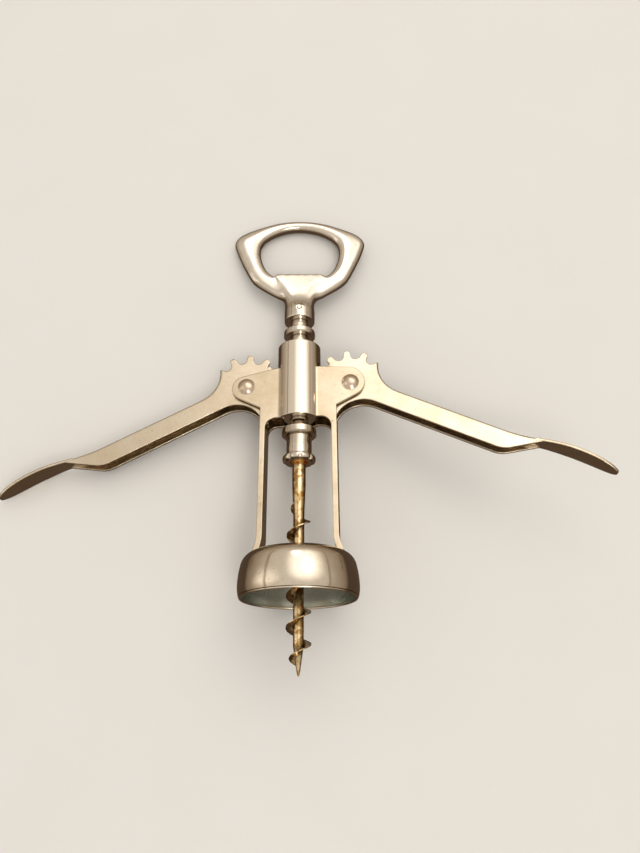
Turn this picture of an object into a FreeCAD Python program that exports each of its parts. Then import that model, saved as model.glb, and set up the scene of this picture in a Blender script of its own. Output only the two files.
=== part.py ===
import FreeCAD, Part
import math
import os

# Wing corkscrew with an opener head, lying on its back.
# X runs across the two levers, +Y from the bell's mouth to the opener head, +Z out of the front.
# The origin is the centre of the bell's mouth. All sizes are millimetres.

# Sheet and clearances
FRAME_SHEET = 1.1
LEVER_SHEET = 0.9
RUNNING_FIT = 0.05
PRESS_GAP = 0.02
SIDE_PLAY = 0.1

# Bell that sits on the bottle
MOUTH_RADIUS = 20.1
BELL_RADIUS = 20.75
BELL_WIDEST_Y = 4.0
BELL_HEIGHT = 15.4
BELL_WALL = 0.7
BELL_SIDE_RADIUS = 30.0
BELL_SHOULDER_RADIUS = 4.0
CORK_HOLE_RADIUS = 12.3

# Barrel and ears of the two frame halves
BARREL_RADIUS = 8.3
BARREL_BOTTOM = 65.9
BARREL_TOP = 97.4
BARREL_LIP = 0.7
BARREL_LIP_HEIGHT = 0.4
BULGE_FILLET = 1.4
EAR_TOP = 86.9
RIGHT_EAR_RADIUS = 6.15
RIGHT_EAR_SHIFT = (-0.8, 0.4)
LEFT_EAR_RADIUS = 5.0
LEFT_EAR_SHIFT = (0.4, -0.5)
EAR_NOTCH_DROP = 9.1
GEAR_ROOM = 0.6

# Legs between the ears and the bell
LEG_INSIDE = 12.3
LEG_SHEET = 2.0
WINDOW_CORNER = 3.9
LEG_FLARE_START = 22.0
LEG_FLARE_RADIUS = 14.0

# Pivots of the levers
PIVOT_X = 19.8
PIVOT_Y = 79.5
RIVET_RADIUS = 1.9
RIVET_HEAD_RADIUS = 3.25
RIVET_HEAD_HEIGHT = 1.5
BUSH_WALL = 0.7
WASHER_RADIUS = 4.3
WASHER_THICKNESS = 0.4

# Gear sector stamped at the root of each lever
PITCH_RADIUS = 14.0
TOOTH_TIP_RADIUS = 14.6
TOOTH_ROOT_RADIUS = 11.1
TOOTH_WIDTH = 2.7
TOOTH_COUNT = 8
STUMP_RADIUS = 14.1

# Lever arm and thumb pad, along u from the pivot and across in v
LEFT_DROOP = 26.3
RIGHT_DROOP = 25.4
LEVER_WIDTH = 6.4
ARM_TOP = 4.2
ARM_BOTTOM = -3.1
ARM_STRAIGHT = 58.0
BEND_RADIUS = 0.9
SHOULDER_RADIUS = 11.9
SHOULDER_U = 17.5
CROTCH_RADIUS = 10.9
CROTCH_U = 11.4
SWAN_ANGLE = 12.0
SWAN_IN_RADIUS = 58.0
SWAN_OUT_RADIUS = 70.0
LEVER_LENGTH = 100.2
CHEEK_RADIUS = 9.0
CHEEK_ANGLE = 34.0
PAD_WIDTH = 8.4
PAD_OFFSET = 12.0
PAD_FULL_SHARE = 0.430464
PAD_TIP_SHARE = 0.463576

# Rack shaft that slides in the barrel
RACK_PITCH = 7.2
RING_RADIUS = 6.2
RING_THICKNESS = 2.6
RING_CHAMFER = 0.45
RACK_CORE_RADIUS = 3.35
RING_COUNT = 6
NECK_BOTTOM = 110.1
TENON_RADIUS = 2.6
TENON_LENGTH = 8.0
SPOOL_FLANGE = 3.0
SPOOL_FLANGE_RADIUS = 6.5
SPOOL_RADIUS = 4.7
SPOOL_LENGTH = 8.1
FERRULE_RADIUS = 6.1
FERRULE_LENGTH = 2.3
FERRULE_SCALLOPS = 9
SCALLOP_RADIUS = 1.1
SOCKET_DEPTH = 6.5
GUIDE_LENGTH = 6.6

# Worm that bores into the cork
WORM_TIP = -24.2
WORM_TIP_RADIUS = 0.25
SHANK_RADIUS = 2.45
SHANK_END = 40.0
WORM_WAIST = 30.0
WORM_CORE_TOP = 2.0
WORM_CORE_BOTTOM = 1.75
WORM_CORE_END = -15.0
PILOT_TOP = -18.5
PILOT_RADIUS = 1.25
PILOT_END = -22.5
PILOT_END_RADIUS = 0.65
WORM_PITCH = 10.35
FLIGHT_RADIUS = 4.3
FLIGHT_TOP = 34.0
FLIGHT_BOTTOM = -21.0
FLIGHT_PHASE_Y = -9.35
FLIGHT_ROOT = 1.1
FLIGHT_EDGE = 0.35
FLIGHT_GROWTH = 300.0
FLIGHT_END_TAPER = 150.0
FLIGHT_STEP = 24.0
BRAZE_WIDTH = 1.1
BRAZE_HEIGHT = 1.2

# Opener head
HEAD_TURN = 5.0
HEAD_THICKNESS = 4.6
HEAD_EDGE_ROUND = 2.0
HEAD_HOLE_ROUND = 0.7
HEAD_HALF_WIDTH = 27.9
HEAD_TOP = 162.0
HEAD_FOOT_DROP = 41.0
HEAD_CORNER_DROP = 11.8
HOLE_HALF_WIDTH = 17.0
HOLE_DROP = 4.4
HOLE_HEIGHT = 28.4
NECK_RADIUS = 6.1
NECK_FLAT_START = 115.0
LIP_EDGE_DROP = 29.0
LIP_HALF_WIDTH = 10.4
LIP_EDGE_THICKNESS = 2.8
LIP_STANDS_OUT = 0.1
LIP_RUN_OUT = 5.5
LIP_RUN_OUT_DEPTH = 2.6
LIP_CORNER = 0.9
LIP_WAIST = 0.32
HEAD_PIN_RADIUS = 0.75
HEAD_PIN_ABOVE_NECK = 4.0

# Sizes that follow from the ones above
LEVER_HALF = LEVER_WIDTH / 2
PAD_START = ARM_STRAIGHT + PAD_OFFSET
PAD_LENGTH = LEVER_LENGTH - PAD_START
PAD_FULL = PAD_START + PAD_LENGTH * PAD_FULL_SHARE
PLATE_IN = LEVER_HALF + SIDE_PLAY + WASHER_THICKNESS
PLATE_OUT = PLATE_IN + FRAME_SHEET
BARREL_BORE = BARREL_RADIUS - FRAME_SHEET
LEG_OUTSIDE = LEG_INSIDE + LEG_SHEET
BUSH_RADIUS = RIVET_RADIUS + RUNNING_FIT + BUSH_WALL
TOOTH_ANGLE = math.degrees(RACK_PITCH / PITCH_RADIUS)
SPOOL_FLANGE_BOTTOM = NECK_BOTTOM - (RING_COUNT + 1) * RACK_PITCH
SPOOL_BOTTOM = SPOOL_FLANGE_BOTTOM - SPOOL_LENGTH - FERRULE_LENGTH
NOTCH_Y = PIVOT_Y - EAR_NOTCH_DROP
HOLE_TOP = HEAD_TOP - HOLE_DROP
LIP_EDGE_Y = HEAD_TOP - LIP_EDGE_DROP
STRAP_REACH = math.sqrt((TOOTH_TIP_RADIUS + GEAR_ROOM) ** 2 - (PIVOT_X - LEG_OUTSIDE) ** 2)
STRAP_TOP = PIVOT_Y - STRAP_REACH
SLOT_REACH = math.sqrt((TOOTH_TIP_RADIUS + GEAR_ROOM) ** 2 - (PIVOT_X - BARREL_RADIUS) ** 2)
SLOT_TOP = PIVOT_Y + SLOT_REACH

# The tooth nearest the shaft at rest stands in the middle of a groove of the rack.
GROOVE_BELOW_RING = 4
GROOVE_Y = NECK_BOTTOM - GROOVE_BELOW_RING * RACK_PITCH - (RACK_PITCH - RING_THICKNESS) / 2
MESH_TOOTH = 5
MESH_ANGLE = 180.0 + LEFT_DROOP + math.degrees(math.asin((PIVOT_Y - GROOVE_Y) / PITCH_RADIUS))
FIRST_TOOTH = MESH_ANGLE - MESH_TOOTH * TOOTH_ANGLE

V = FreeCAD.Vector
X_AXIS = V(1, 0, 0)
Y_AXIS = V(0, 1, 0)
Z_AXIS = V(0, 0, 1)
ORIGIN = V(0, 0, 0)


def polar(radius, degrees):
    """A flat point at a radius and an angle."""
    return V(radius * math.cos(math.radians(degrees)), radius * math.sin(math.radians(degrees)), 0)


def arc(start, middle, end):
    """An edge along the circle through three points."""
    return Part.Arc(start, middle, end).toShape()


def line(start, end):
    """A straight edge."""
    return Part.LineSegment(start, end).toShape()


def arc_about(centre, radius, start, end):
    """An arc in the XY plane about a centre, from one angle to the other."""
    middle = (start + end) / 2
    return arc(centre + polar(radius, start), centre + polar(radius, middle), centre + polar(radius, end))


def slab(edges, low, high):
    """A closed outline in the XY plane made a solid between two heights."""
    face = Part.Face(Part.Wire(Part.__sortEdges__(edges)))
    solid = face.extrude(V(0, 0, high - low))
    solid.translate(V(0, 0, low))
    return solid


def polygon(points):
    """The edges of a closed polygon."""
    edges = []
    for start, end in zip(points, points[1:] + points[:1]):
        edges.append(line(start, end))
    return edges


def turned(profile):
    """A closed outline of radius and height, turned about the shaft's axis."""
    face = Part.Face(Part.Wire(profile))
    return face.revolve(ORIGIN, Y_AXIS, 360)


def turned_points(points):
    """A turned solid from radius and height corners."""
    corners = []
    for radius, height in points:
        corners.append(V(radius, height, 0))
    return turned(polygon(corners))


def rod(radius, bottom, top):
    """A rod along the shaft's axis."""
    return Part.makeCylinder(radius, top - bottom, V(0, bottom, 0), Y_AXIS)


def pin_through(radius, x, y, low, high):
    """A rod along Z at a pivot."""
    return Part.makeCylinder(radius, high - low, V(x, y, low), Z_AXIS)


def block(x0, x1, y0, y1, z0, z1):
    """A box between two corners."""
    return Part.makeBox(x1 - x0, y1 - y0, z1 - z0, V(x0, y0, z0))


def other_side(shape):
    """The mirror image across the shaft's plane, left for right."""
    return shape.mirror(ORIGIN, X_AXIS)


def back_half(shape):
    """The mirror image behind the middle plane, back for front."""
    return shape.mirror(ORIGIN, Z_AXIS)


def tangent_point(point, centre, radius, side):
    """Where a line from a point touches a circle; side picks which of the two."""
    away = point - centre
    reach = math.degrees(math.acos(radius / away.Length))
    facing = math.degrees(math.atan2(away.y, away.x))
    return centre + polar(radius, facing + side * reach)


def circle_crossing(centre_a, radius_a, centre_b, radius_b, side):
    """Where two circles cross; side picks which of the two places."""
    between = centre_b - centre_a
    gap = between.Length
    along = (radius_a ** 2 - radius_b ** 2 + gap ** 2) / (2 * gap)
    across = math.sqrt(radius_a ** 2 - along ** 2)
    unit = between * (1 / gap)
    return centre_a + unit * along + V(-unit.y, unit.x, 0) * (side * across)


# Bell


def bell_profile(depth):
    """The bell's meridian at a depth under its outer skin, from the mouth up to the top."""
    side_centre = V(BELL_RADIUS - BELL_SIDE_RADIUS, BELL_WIDEST_Y, 0)
    lip_x = (BELL_RADIUS ** 2 - MOUTH_RADIUS ** 2 - BELL_WIDEST_Y ** 2) / (2 * (BELL_RADIUS - MOUTH_RADIUS))
    lip_centre = V(lip_x, BELL_WIDEST_Y, 0)
    lip_radius = BELL_RADIUS - lip_x - depth
    top_centre_y = BELL_HEIGHT - BELL_SHOULDER_RADIUS
    rise = top_centre_y - BELL_WIDEST_Y
    reach = math.sqrt((BELL_SIDE_RADIUS - BELL_SHOULDER_RADIUS) ** 2 - rise ** 2)
    top_centre = V(side_centre.x + reach, top_centre_y, 0)
    turn = math.degrees(math.atan2(rise, reach))
    mouth_angle = -math.degrees(math.asin(BELL_WIDEST_Y / lip_radius))
    return [
        arc_about(lip_centre, lip_radius, mouth_angle, 0),
        arc_about(side_centre, BELL_SIDE_RADIUS - depth, 0, turn),
        arc_about(top_centre, BELL_SHOULDER_RADIUS - depth, turn, 90),
    ]


def first_point(edges):
    """The start of a run of edges."""
    return edges[0].valueAt(edges[0].FirstParameter)


def last_point(edges):
    """The end of a run of edges."""
    return edges[-1].valueAt(edges[-1].LastParameter)


def bell():
    """The thin cup that sits over the bottle's mouth, with a hole for the cork in its top."""
    outer = bell_profile(0)
    inner = bell_profile(BELL_WALL)
    rim_outer = V(CORK_HOLE_RADIUS, BELL_HEIGHT, 0)
    rim_inner = V(CORK_HOLE_RADIUS, BELL_HEIGHT - BELL_WALL, 0)
    edges = outer + [line(last_point(outer), rim_outer)]
    edges += [line(rim_outer, rim_inner), line(rim_inner, last_point(inner))]
    edges += inner + [line(first_point(inner), first_point(outer))]
    return turned(Part.__sortEdges__(edges))


def bell_block():
    """The bell's outer form made solid, which trims the feet of the legs."""
    outer = bell_profile(0)
    axis_top = V(0, BELL_HEIGHT, 0)
    edges = outer + [line(last_point(outer), axis_top), line(axis_top, ORIGIN)]
    edges.append(line(ORIGIN, first_point(outer)))
    return turned(Part.__sortEdges__(edges))


# Frame halves


def formed_sheet():
    """The pressed sheet's section, flat with a half-round bulge, drawn out along the barrel."""
    wide = PIVOT_X + RIGHT_EAR_RADIUS + BARREL_RADIUS
    fillet_y = PLATE_OUT + BULGE_FILLET
    fillet_x = math.sqrt((BARREL_RADIUS + BULGE_FILLET) ** 2 - fillet_y ** 2)
    lean = math.degrees(math.atan2(fillet_y, fillet_x))
    right = V(fillet_x, fillet_y, 0)
    left = V(-fillet_x, fillet_y, 0)
    edges = []
    for radius, fillet, level in (
        (BARREL_RADIUS, BULGE_FILLET, PLATE_OUT),
        (BARREL_BORE, BULGE_FILLET + FRAME_SHEET, PLATE_IN),
    ):
        edges.append(line(V(wide, level, 0), V(fillet_x, level, 0)))
        edges.append(arc_about(right, fillet, 270, 180 + lean))
        edges.append(arc_about(ORIGIN, radius, lean, 180 - lean))
        edges.append(arc_about(left, fillet, -lean, -90))
        edges.append(line(V(-fillet_x, level, 0), V(-wide, level, 0)))
    edges.append(line(V(wide, PLATE_IN, 0), V(wide, PLATE_OUT, 0)))
    edges.append(line(V(-wide, PLATE_IN, 0), V(-wide, PLATE_OUT, 0)))
    bottom = STRAP_TOP - 2 * WINDOW_CORNER
    sheet = slab(edges, 0, EAR_TOP + BULGE_FILLET - bottom)
    sheet.rotate(ORIGIN, X_AXIS, 90)
    sheet.translate(V(0, EAR_TOP + BULGE_FILLET, 0))
    return sheet


def ear_half(radius, shift):
    """The front view of the pressed plate's right half: ear, bottom edge and the top of the leg."""
    centre = V(PIVOT_X + shift[0], PIVOT_Y + shift[1], 0)
    neck = V(BARREL_RADIUS, EAR_TOP, 0)
    notch = V(LEG_OUTSIDE, NOTCH_Y, 0)
    top = tangent_point(neck, centre, radius, -1)
    low = tangent_point(notch, centre, radius, 1)
    outermost = centre + V(radius, 0, 0)
    leg_low = STRAP_TOP - WINDOW_CORNER
    corner = V(LEG_INSIDE - WINDOW_CORNER, BARREL_BOTTOM - WINDOW_CORNER, 0)
    return [
        line(V(0, EAR_TOP, 0), neck),
        line(neck, top),
        arc(top, outermost, low),
        line(low, notch),
        line(notch, V(LEG_OUTSIDE, leg_low, 0)),
        line(V(LEG_OUTSIDE, leg_low, 0), V(LEG_INSIDE, leg_low, 0)),
        line(V(LEG_INSIDE, leg_low, 0), V(LEG_INSIDE, corner.y, 0)),
        arc_about(corner, WINDOW_CORNER, 0, 90),
        line(V(corner.x, BARREL_BOTTOM, 0), V(0, BARREL_BOTTOM, 0)),
    ]


def ear_outline():
    """Both ears in one outline; the left ear slopes more than the right."""
    edges = ear_half(RIGHT_EAR_RADIUS, RIGHT_EAR_SHIFT)
    for edge in ear_half(LEFT_EAR_RADIUS, LEFT_EAR_SHIFT):
        edges.append(other_side(edge))
    return edges


def leg():
    """The right leg's half: a strap on edge, flared at its foot and trimmed to the bell."""
    centre = V(LEG_OUTSIDE + LEG_FLARE_RADIUS, LEG_FLARE_START, 0)
    drop = LEG_FLARE_START - BELL_HEIGHT + BELL_WALL
    foot_angle = 180 + math.degrees(math.asin(drop / LEG_FLARE_RADIUS))
    outer = centre + polar(LEG_FLARE_RADIUS, foot_angle)
    inner = centre + polar(LEG_FLARE_RADIUS + LEG_SHEET, foot_angle)
    edges = [
        line(V(LEG_INSIDE, STRAP_TOP, 0), V(LEG_OUTSIDE, STRAP_TOP, 0)),
        line(V(LEG_OUTSIDE, STRAP_TOP, 0), V(LEG_OUTSIDE, LEG_FLARE_START, 0)),
        arc_about(centre, LEG_FLARE_RADIUS, 180, foot_angle),
        line(outer, inner),
        arc_about(centre, LEG_FLARE_RADIUS + LEG_SHEET, 180, foot_angle),
        line(V(LEG_INSIDE, LEG_FLARE_START, 0), V(LEG_INSIDE, STRAP_TOP, 0)),
    ]
    return slab(edges, 0, PLATE_OUT).cut(bell_block())


def front_frame():
    """The front stamping: ears, half of the barrel and the front halves of both legs."""
    plate = formed_sheet().common(slab(ear_outline(), 0, BARREL_RADIUS + FRAME_SHEET))
    tube = rod(BARREL_RADIUS, BARREL_BOTTOM, BARREL_TOP)
    tube = tube.cut(rod(BARREL_BORE, BARREL_BOTTOM - 1, BARREL_TOP - BARREL_LIP_HEIGHT))
    tube = tube.cut(rod(BARREL_BORE - BARREL_LIP, BARREL_BOTTOM - 1, BARREL_TOP + 1))
    wide = 2 * BARREL_RADIUS
    tube = tube.cut(block(-wide, wide, BARREL_BOTTOM - 1, BARREL_TOP + 1, -wide, 0))
    tube = tube.cut(block(-wide, wide, BARREL_BOTTOM - 1, SLOT_TOP, 0, PLATE_IN))
    right_leg = leg()
    half = plate.fuse([tube, right_leg, other_side(right_leg)])
    for x in (-PIVOT_X, PIVOT_X):
        half = half.cut(pin_through(RIVET_RADIUS + PRESS_GAP, x, PIVOT_Y, 0, 2 * PLATE_OUT))
    return half.removeSplitter()


# Pivots


def rivet():
    """The right pivot's rivet, domed at the front and peened to the same dome behind."""
    dome_radius = (RIVET_HEAD_RADIUS ** 2 + RIVET_HEAD_HEIGHT ** 2) / (2 * RIVET_HEAD_HEIGHT)
    ball = Part.makeSphere(dome_radius, V(0, 0, PLATE_OUT + RIVET_HEAD_HEIGHT - dome_radius))
    head = ball.common(pin_through(RIVET_HEAD_RADIUS, 0, 0, PLATE_OUT, PLATE_OUT + dome_radius))
    whole = pin_through(RIVET_RADIUS, 0, 0, -PLATE_OUT, PLATE_OUT).fuse([head, back_half(head)])
    whole.translate(V(PIVOT_X, PIVOT_Y, 0))
    return whole.removeSplitter()


def pivot_bush():
    """The tube on the rivet that holds the two frame halves apart and carries the lever."""
    bore = RIVET_RADIUS + RUNNING_FIT
    body = pin_through(BUSH_RADIUS, PIVOT_X, PIVOT_Y, -PLATE_IN, PLATE_IN)
    return body.cut(pin_through(bore, PIVOT_X, PIVOT_Y, -PLATE_IN - 1, PLATE_IN + 1))


def pivot_washer():
    """The washer between the lever and the front half."""
    bottom = PLATE_IN - WASHER_THICKNESS
    body = pin_through(WASHER_RADIUS, PIVOT_X, PIVOT_Y, bottom, PLATE_IN)
    return body.cut(pin_through(BUSH_RADIUS + RUNNING_FIT, PIVOT_X, PIVOT_Y, bottom - 1, PLATE_IN + 1))


# Levers, drawn along u with the pivot at the origin


def swan_curve(depth):
    """The arm's top edge from its shoulder to the tip of the pad, at a depth under the outer skin."""
    shoulder = V(SHOULDER_U, ARM_TOP + SHOULDER_RADIUS, 0)
    stump = circle_crossing(ORIGIN, STUMP_RADIUS, shoulder, SHOULDER_RADIUS, 1)
    start = math.degrees(math.atan2(stump.y - shoulder.y, stump.x - shoulder.x)) % 360
    rise = V(ARM_STRAIGHT, ARM_TOP + SWAN_IN_RADIUS, 0)
    joint = rise + polar(SWAN_IN_RADIUS, SWAN_ANGLE - 90)
    crown = joint + polar(SWAN_OUT_RADIUS, SWAN_ANGLE - 90)
    finish = 90 + SWAN_ANGLE - math.degrees(2 * math.asin((LEVER_LENGTH - joint.x) / (2 * SWAN_OUT_RADIUS)))
    return [
        arc_about(shoulder, SHOULDER_RADIUS + depth, start, 270),
        line(V(SHOULDER_U, ARM_TOP - depth, 0), V(ARM_STRAIGHT, ARM_TOP - depth, 0)),
        arc_about(rise, SWAN_IN_RADIUS + depth, 270, 270 + SWAN_ANGLE),
        arc_about(crown, SWAN_OUT_RADIUS - depth, 90 + SWAN_ANGLE, finish),
    ]


def tooth_tips():
    """The angles of the teeth along the lever, from the stump by the arm round to the last."""
    angles = []
    for number in range(TOOTH_COUNT):
        angles.append(FIRST_TOOTH + number * TOOTH_ANGLE)
    return angles


def gear_edges():
    """The toothed edge of a lever's wall, with round tips and round gaps between the fingers."""
    angles = tooth_tips()
    half_width = TOOTH_WIDTH / 2
    half_step = math.radians(TOOTH_ANGLE / 2)
    gap_centre = (TOOTH_ROOT_RADIUS - half_width) / (1 - math.sin(half_step))
    flank_reach = gap_centre * math.cos(half_step)
    tip_centre = TOOTH_TIP_RADIUS - half_width

    def beside(reach, offset, angle):
        """A point along a tooth's own axis and to one side of it."""
        return polar(reach, angle) + polar(offset, angle + 90)

    edges = []
    shoulder = V(SHOULDER_U, ARM_TOP + SHOULDER_RADIUS, 0)
    stump = circle_crossing(ORIGIN, STUMP_RADIUS, shoulder, SHOULDER_RADIUS, 1)
    here = stump
    for number, angle in enumerate(angles):
        if number > 0:
            lower = beside(flank_reach, -half_width, angle)
            tip_start = beside(tip_centre, -half_width, angle)
            edges.append(arc(here, polar(TOOTH_ROOT_RADIUS, angle - TOOTH_ANGLE / 2), lower))
            edges.append(line(lower, tip_start))
            here = tip_start
        if number == 0:
            flank = beside(flank_reach, half_width, angle)
            edges.append(line(stump, flank))
            here = flank
        elif number < len(angles) - 1:
            tip_end = beside(tip_centre, half_width, angle)
            flank = beside(flank_reach, half_width, angle)
            edges.append(arc(here, polar(TOOTH_TIP_RADIUS, angle), tip_end))
            edges.append(line(tip_end, flank))
            here = flank
    crotch = V(CROTCH_U, ARM_BOTTOM - CROTCH_RADIUS, 0)
    tail = circle_crossing(ORIGIN, TOOTH_TIP_RADIUS, crotch, CROTCH_RADIUS, -1)
    last = angles[-1]
    shoulder_angle = math.degrees(math.atan2(tail.y, tail.x)) % 360
    tip_middle = polar(TOOTH_TIP_RADIUS, last)
    edges.append(arc(here, polar(tip_centre, last) + polar(half_width, last - 45), tip_middle))
    edges.append(arc(tip_middle, polar(TOOTH_TIP_RADIUS, (last + shoulder_angle) / 2), tail))
    tail_angle = math.degrees(math.atan2(tail.y - crotch.y, tail.x - crotch.x))
    edges.append(arc_about(crotch, CROTCH_RADIUS, tail_angle % 360, 90))
    return edges


def wall_outline():
    """The whole side wall of a lever: gear sector, arm and the cheek that dies into the pad."""
    cheek_start = V(ARM_STRAIGHT, ARM_BOTTOM, 0)
    cheek_centre = cheek_start + V(0, CHEEK_RADIUS, 0)
    cheek_end = cheek_centre + polar(CHEEK_RADIUS, CHEEK_ANGLE - 90)
    top = swan_curve(0)
    rise = V(ARM_STRAIGHT, ARM_TOP + SWAN_IN_RADIUS, 0)
    joint = last_point(top[:3])
    run = (joint.y - LEVER_SHEET / 2 - cheek_end.y) / math.tan(math.radians(CHEEK_ANGLE))
    cheek_top = V(cheek_end.x + run, joint.y - LEVER_SHEET / 2, 0)
    ease = rise + polar(SWAN_IN_RADIUS, SWAN_ANGLE - 90)
    edges = gear_edges()
    edges.append(line(V(CROTCH_U, ARM_BOTTOM, 0), cheek_start))
    edges.append(arc_about(cheek_centre, CHEEK_RADIUS, -90, CHEEK_ANGLE - 90))
    edges.append(line(cheek_end, cheek_top))
    edges.append(line(cheek_top, ease))
    edges += top[:3]
    return edges


def web_band(half_width):
    """The folded web along the top edge and the pad, as a band of sheet."""
    outer = swan_curve(0)
    inner = swan_curve(LEVER_SHEET)
    edges = outer + inner
    edges.append(line(first_point(outer), first_point(inner)))
    edges.append(line(last_point(outer), last_point(inner)))
    return slab(edges, -half_width, half_width)


def channel_core():
    """The hollow under the web, between the two walls."""
    inner = swan_curve(LEVER_SHEET)
    below = 2 * TOOTH_TIP_RADIUS
    start = first_point(inner)
    finish = last_point(inner)
    corners = [finish, V(finish.x, -below, 0), V(-below, -below, 0), V(-below, below, 0)]
    corners += [V(start.x, below, 0), start]
    edges = list(inner)
    for a, b in zip(corners, corners[1:]):
        edges.append(line(a, b))
    inside = LEVER_HALF - LEVER_SHEET
    return slab(edges, -inside, inside)


def pad_plan():
    """The top view of the web and pad: narrow along the arm, wide at the thumb, round at the tip."""
    arm = LEVER_HALF
    pad = PAD_WIDTH / 2
    round_start = LEVER_LENGTH - PAD_LENGTH * PAD_TIP_SHARE
    ease = (PAD_FULL - PAD_START) / 2
    points = [
        V(-TOOTH_TIP_RADIUS, arm, 0),
        V(PAD_START, arm, 0),
        V(PAD_START + ease, (arm + pad) / 2, 0),
        V(PAD_FULL, pad, 0),
    ]
    flare = Part.BSplineCurve()
    flare.interpolate(points[1:], InitialTangent=X_AXIS, FinalTangent=X_AXIS)
    tip = V(LEVER_LENGTH, 0, 0)
    nose = Part.BSplineCurve()
    start = V(round_start, pad, 0)
    mirrored = V(round_start, -pad, 0)
    nose.interpolate([start, tip, mirrored], InitialTangent=X_AXIS, FinalTangent=V(-1, 0, 0))
    edges = [line(points[0], points[1]), flare.toShape(), line(points[3], start)]
    for edge in list(edges):
        edges.append(edge.mirror(ORIGIN, Y_AXIS))
    edges.append(nose.toShape())
    edges.append(line(points[0], V(points[0].x, -arm, 0)))
    plan = slab(edges, -4 * TOOTH_TIP_RADIUS, 4 * TOOTH_TIP_RADIUS)
    plan.rotate(ORIGIN, X_AXIS, 90)
    return plan


def round_top_corners(solid):
    """The bends between the web and the walls, rounded as a press leaves them."""
    picked = []
    for edge in solid.Edges:
        middle = edge.valueAt((edge.FirstParameter + edge.LastParameter) / 2)
        on_side = abs(abs(middle.z) - LEVER_HALF) < 0.01
        if not on_side:
            continue
        for curve in swan_curve(0)[:3]:
            if curve.distToShape(Part.Vertex(V(middle.x, middle.y, 0)))[0] < 0.01:
                picked.append(edge)
                break
    return solid.makeFillet(BEND_RADIUS, picked)


def lever(droop):
    """The right lever at its droop, folded from one sheet: two toothed walls, a web and a thumb pad."""
    walls = slab(wall_outline(), -LEVER_HALF, LEVER_HALF)
    walls = round_top_corners(walls)
    walls = walls.cut(channel_core())
    band = web_band(PAD_WIDTH).common(pad_plan())
    pad = band.cut(block(-LEVER_LENGTH, PAD_START, -LEVER_LENGTH, LEVER_LENGTH, -PAD_WIDTH, PAD_WIDTH))
    whole = walls.fuse(pad)
    whole = whole.cut(pin_through(BUSH_RADIUS + RUNNING_FIT, 0, 0, -LEVER_WIDTH, LEVER_WIDTH))
    whole = whole.removeSplitter()
    whole.rotate(ORIGIN, Z_AXIS, -droop)
    whole.translate(V(PIVOT_X, PIVOT_Y, 0))
    return whole


# Shaft


def ring_corners(bottom, thickness, radius, core):
    """The corners of one turned ring with broken edges, from its bottom up."""
    return [
        (core, bottom),
        (radius - RING_CHAMFER, bottom),
        (radius, bottom + RING_CHAMFER),
        (radius, bottom + thickness - RING_CHAMFER),
        (radius - RING_CHAMFER, bottom + thickness),
        (core, bottom + thickness),
    ]


def rack_shaft():
    """The turned shaft: spool with the worm's socket, rack rings and the tenon for the head."""
    corners = [(0, SPOOL_BOTTOM), (SPOOL_RADIUS - RUNNING_FIT, SPOOL_BOTTOM)]
    corners += [(SPOOL_RADIUS - RUNNING_FIT, SPOOL_BOTTOM + FERRULE_LENGTH)]
    corners += [(SPOOL_RADIUS, SPOOL_BOTTOM + FERRULE_LENGTH)]
    flange = ring_corners(SPOOL_FLANGE_BOTTOM, SPOOL_FLANGE, SPOOL_FLANGE_RADIUS, SPOOL_RADIUS)
    flange[-1] = (RACK_CORE_RADIUS, SPOOL_FLANGE_BOTTOM + SPOOL_FLANGE)
    corners += flange
    for number in range(RING_COUNT, 0, -1):
        bottom = NECK_BOTTOM - number * RACK_PITCH
        corners += ring_corners(bottom, RING_THICKNESS, RING_RADIUS, RACK_CORE_RADIUS)
    corners += [(RACK_CORE_RADIUS, NECK_BOTTOM), (TENON_RADIUS, NECK_BOTTOM)]
    corners += [(TENON_RADIUS, NECK_BOTTOM + TENON_LENGTH), (0, NECK_BOTTOM + TENON_LENGTH)]
    shaft = turned_points(corners)
    shaft = shaft.cut(rod(SHANK_RADIUS + PRESS_GAP, SPOOL_BOTTOM - 1, SPOOL_BOTTOM + SOCKET_DEPTH))
    return shaft.cut(head_pin_hole())


def ferrule():
    """The crimped ring round the socket's mouth, with a scalloped rim."""
    core = SPOOL_RADIUS - RUNNING_FIT + PRESS_GAP
    ring = turned_points(ring_corners(SPOOL_BOTTOM, FERRULE_LENGTH, FERRULE_RADIUS, core))
    notch = Part.makeCylinder(SCALLOP_RADIUS, FERRULE_LENGTH / 2, V(FERRULE_RADIUS, SPOOL_BOTTOM, 0), Y_AXIS)
    notches = []
    for number in range(FERRULE_SCALLOPS):
        copy = notch.copy()
        copy.rotate(ORIGIN, Y_AXIS, number * 360 / FERRULE_SCALLOPS)
        notches.append(copy)
    return ring.cut(notches)


def guide_bush():
    """The liner in the barrel's top that centres the rack and turns with it."""
    top = BARREL_TOP - BARREL_LIP_HEIGHT - RUNNING_FIT
    outer = rod(BARREL_BORE - RUNNING_FIT, top - GUIDE_LENGTH, top)
    return outer.cut(rod(RING_RADIUS + RUNNING_FIT, top - GUIDE_LENGTH - 1, top + 1))


# Worm


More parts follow.
